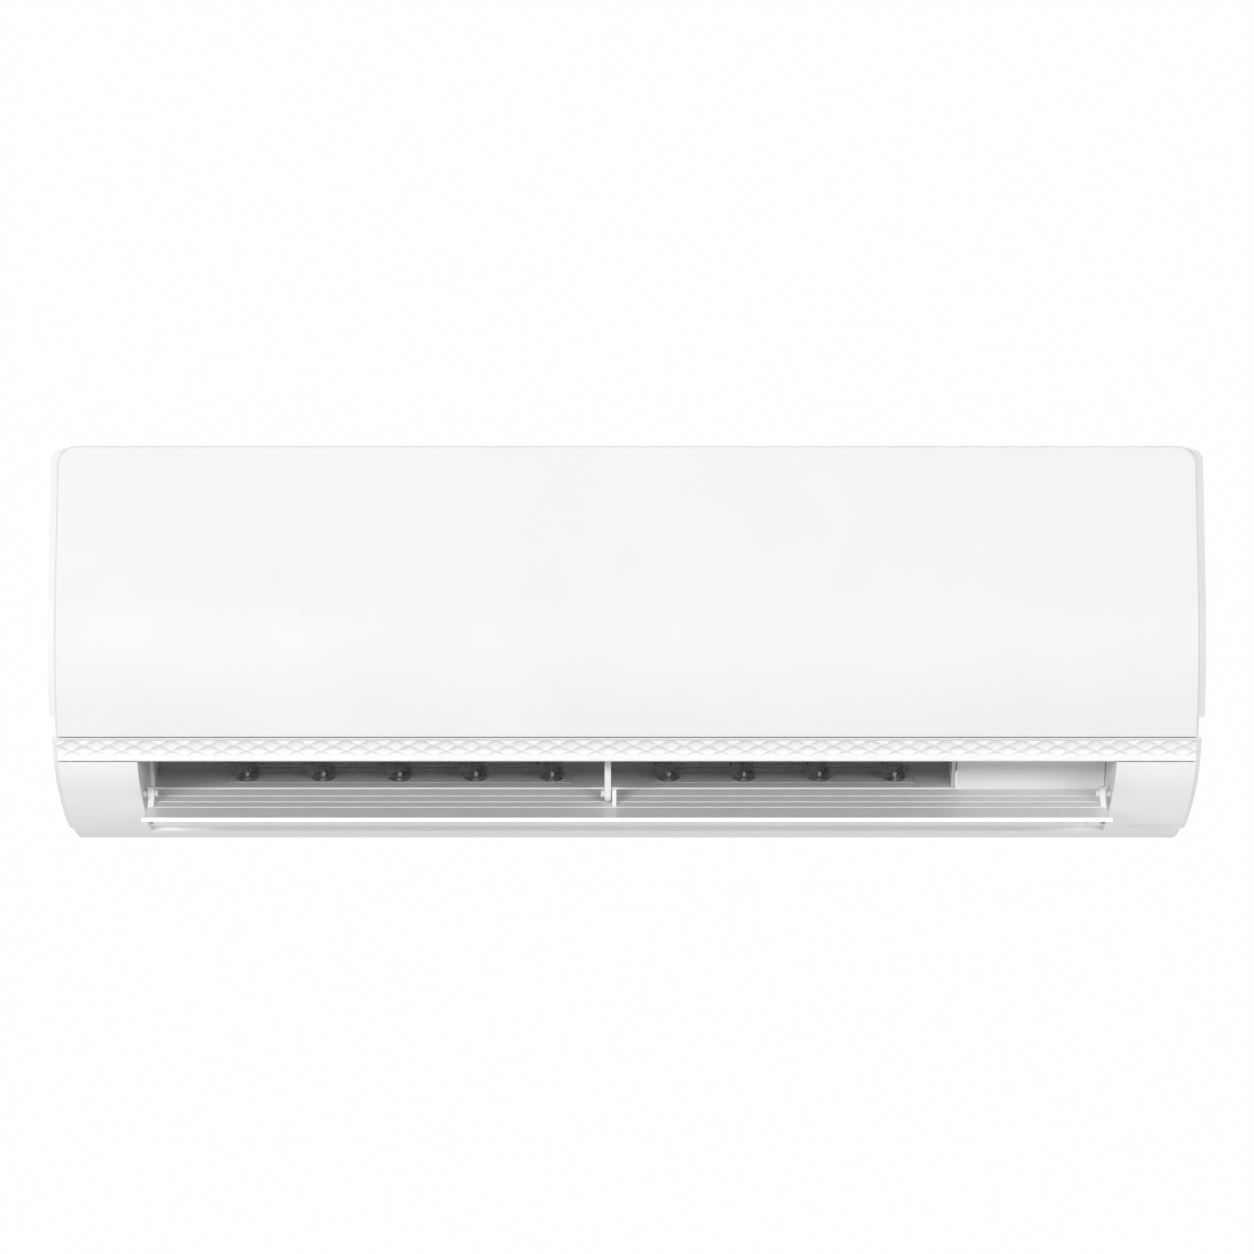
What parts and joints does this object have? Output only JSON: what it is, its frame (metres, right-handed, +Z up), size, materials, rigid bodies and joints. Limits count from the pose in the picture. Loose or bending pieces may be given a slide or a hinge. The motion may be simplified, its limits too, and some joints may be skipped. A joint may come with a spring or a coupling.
{
  "type": "mini split indoor unit",
  "caption": "Wall-hung indoor unit of a split air conditioner with a hinged front panel, a swinging louver, air vanes, cross-flow fan, coil and wall plate.",
  "frame": {"origin": "centre of the wall plate's back face, on the wall, at the unit's mid-height", "axes": "+Y into the wall, so the front looks along -Y; +X to the right seen from the front; +Z up"},
  "size_m": [0.85, 0.205, 0.292],
  "materials": {
    "casing_plastic": "satin white moulding",
    "white_plastic": "smooth white moulding, light gloss",
    "strip_plastic": "embossed white moulding, light gloss",
    "pan_plastic": "white foam and plastic",
    "outlet_plastic": "satin white moulding",
    "chassis_plastic": "satin light moulding",
    "smoky_plastic": "dark smoky moulding",
    "fan_plastic": "dark glass-filled plastic",
    "bush_rubber": "soft rubber",
    "pin_plastic": "white acetal",
    "shaft_steel": "ground steel",
    "motor_steel": "dark moulded motor",
    "small_motor_steel": "zinc plated",
    "fin_aluminium": "thin fins, coated",
    "galvanised_steel": "galvanised sheet",
    "copper": "bare copper",
    "nut_brass": "machined brass",
    "filter_plastic": "fine mesh in a moulded frame",
    "box_plastic": "flame retardant moulding",
    "board": "lacquered circuit board",
    "terminal_plastic": "dark moulding",
    "window_plastic": "smoked translucent window"
  },
  "bodies": {
    "unit": {"front_frame": "casing_plastic", "trim_strip": "strip_plastic", "left_louver_pin": "pin_plastic", "louver_motor": "small_motor_steel", "drain_pan": "pan_plastic", "centre_strut": "outlet_plastic", "rear_chassis": "chassis_plastic", "outlet_blank": "outlet_plastic", "vane_holder_left": "chassis_plastic", "vane_holder_right": "chassis_plastic", "fan_bush": "bush_rubber", "fan_motor": "motor_steel", "motor_clamp": "chassis_plastic", "coil_fins": "fin_aluminium", "coil_end_plate_left": "galvanised_steel", "coil_end_plate_right": "galvanised_steel", "coil_bends": "copper", "air_filter_left": "filter_plastic", "air_filter_right": "filter_plastic", "electrical_box": "box_plastic", "box_cover": "box_plastic", "control_board": "board", "terminal_block": "terminal_plastic", "receiver_window": "window_plastic", "receiver_board": "board", "button_holder": "casing_plastic", "screw_caps": "casing_plastic", "wall_plate": "galvanised_steel", "suction_pipe": "copper", "liquid_pipe": "copper", "flare_nut_suction": "nut_brass", "flare_nut_liquid": "nut_brass", "pipe_retainer": "chassis_plastic", "drain_spigot": "chassis_plastic"},
    "front_panel": {"front_panel": "white_plastic"},
    "louver": {"louver": "white_plastic", "middle_louver_pin": "pin_plastic", "louver_shaft": "pin_plastic"},
    "fan": {"crossflow_fan": "fan_plastic", "motor_shaft": "shaft_steel"},
    "emergency_button": {"emergency_button": "pin_plastic"},
    "vane_left_1": {"vane_left_1": "smoky_plastic"},
    "vane_left_2": {"vane_left_2": "smoky_plastic"},
    "vane_left_3": {"vane_left_3": "smoky_plastic"},
    "vane_left_4": {"vane_left_4": "smoky_plastic"},
    "vane_left_5": {"vane_left_5": "smoky_plastic"},
    "vane_link_left": {"vane_link_left": "smoky_plastic"},
    "vane_right_1": {"vane_right_1": "smoky_plastic"},
    "vane_right_2": {"vane_right_2": "smoky_plastic"},
    "vane_right_3": {"vane_right_3": "smoky_plastic"},
    "vane_right_4": {"vane_right_4": "smoky_plastic"},
    "vane_link_right": {"vane_link_right": "smoky_plastic"}
  },
  "joints": [
    {"name": "front_panel_hinge", "type": "hinge", "parent": "unit", "child": "front_panel", "pos_m": [0, -0.158, 0.1425], "axis": [-1, 0, 0], "range_deg": [0, 60]},
    {"name": "louver_swing", "type": "hinge", "parent": "unit", "child": "louver", "pos_m": [0, -0.117, -0.109], "axis": [1, 0, 0], "range_deg": [-39.5, 35]},
    {"name": "fan_spin", "type": "hinge", "parent": "unit", "child": "fan", "pos_m": [0, -0.082, -0.008], "axis": [1, 0, 0], "continuous": true},
    {"name": "emergency_button_press", "type": "slide", "parent": "unit", "child": "emergency_button", "axis": [0, 1, 0], "range_m": [0, 0.0015], "stiffness_N_per_m": 600, "springref_m": -0.001},
    {"name": "vane_left_1_turn", "type": "hinge", "parent": "unit", "child": "vane_left_1", "pos_m": [-0.2859, -0.046, -0.0995], "axis": [0, -0.3256, 0.9455], "range_deg": [-3.4, 56.6]},
    {"name": "vane_left_2_turn", "type": "hinge", "parent": "unit", "child": "vane_left_2", "pos_m": [-0.22858, -0.046, -0.0995], "axis": [0, -0.3256, 0.9455], "range_deg": [-3.4, 56.6]},
    {"name": "vane_left_3_turn", "type": "hinge", "parent": "unit", "child": "vane_left_3", "pos_m": [-0.17125, -0.046, -0.0995], "axis": [0, -0.3256, 0.9455], "range_deg": [-3.4, 56.6]},
    {"name": "vane_left_4_turn", "type": "hinge", "parent": "unit", "child": "vane_left_4", "pos_m": [-0.11392, -0.046, -0.0995], "axis": [0, -0.3256, 0.9455], "range_deg": [-3.4, 56.6]},
    {"name": "vane_left_5_turn", "type": "hinge", "parent": "unit", "child": "vane_left_5", "pos_m": [-0.0566, -0.046, -0.0995], "axis": [0, -0.3256, 0.9455], "range_deg": [-3.4, 56.6]},
    {"name": "vane_link_left_turn", "type": "hinge", "parent": "vane_left_1", "child": "vane_link_left", "pos_m": [-0.28008, -0.03589, -0.09316], "axis": [0, -0.3256, 0.9455], "range_deg": [-56.6, 3.4]},
    {"name": "vane_right_1_turn", "type": "hinge", "parent": "unit", "child": "vane_right_1", "pos_m": [0.0311, -0.046, -0.0995], "axis": [0, -0.3256, 0.9455], "range_deg": [-3.4, 56.6]},
    {"name": "vane_right_2_turn", "type": "hinge", "parent": "unit", "child": "vane_right_2", "pos_m": [0.08777, -0.046, -0.0995], "axis": [0, -0.3256, 0.9455], "range_deg": [-3.4, 56.6]},
    {"name": "vane_right_3_turn", "type": "hinge", "parent": "unit", "child": "vane_right_3", "pos_m": [0.14443, -0.046, -0.0995], "axis": [0, -0.3256, 0.9455], "range_deg": [-3.4, 56.6]},
    {"name": "vane_right_4_turn", "type": "hinge", "parent": "unit", "child": "vane_right_4", "pos_m": [0.2011, -0.046, -0.0995], "axis": [0, -0.3256, 0.9455], "range_deg": [-3.4, 56.6]},
    {"name": "vane_link_right_turn", "type": "hinge", "parent": "vane_right_1", "child": "vane_link_right", "pos_m": [0.03692, -0.03589, -0.09316], "axis": [0, -0.3256, 0.9455], "range_deg": [-56.6, 3.4]}
  ],
  "couplings": [
    {"joint": "vane_left_2_turn", "follows": "vane_left_1_turn", "ratio": 1},
    {"joint": "vane_left_3_turn", "follows": "vane_left_1_turn", "ratio": 1},
    {"joint": "vane_left_4_turn", "follows": "vane_left_1_turn", "ratio": 1},
    {"joint": "vane_left_5_turn", "follows": "vane_left_1_turn", "ratio": 1},
    {"joint": "vane_link_left_turn", "follows": "vane_left_1_turn", "ratio": -1},
    {"joint": "vane_right_2_turn", "follows": "vane_right_1_turn", "ratio": 1},
    {"joint": "vane_right_3_turn", "follows": "vane_right_1_turn", "ratio": 1},
    {"joint": "vane_right_4_turn", "follows": "vane_right_1_turn", "ratio": 1},
    {"joint": "vane_link_right_turn", "follows": "vane_right_1_turn", "ratio": -1}
  ]
}
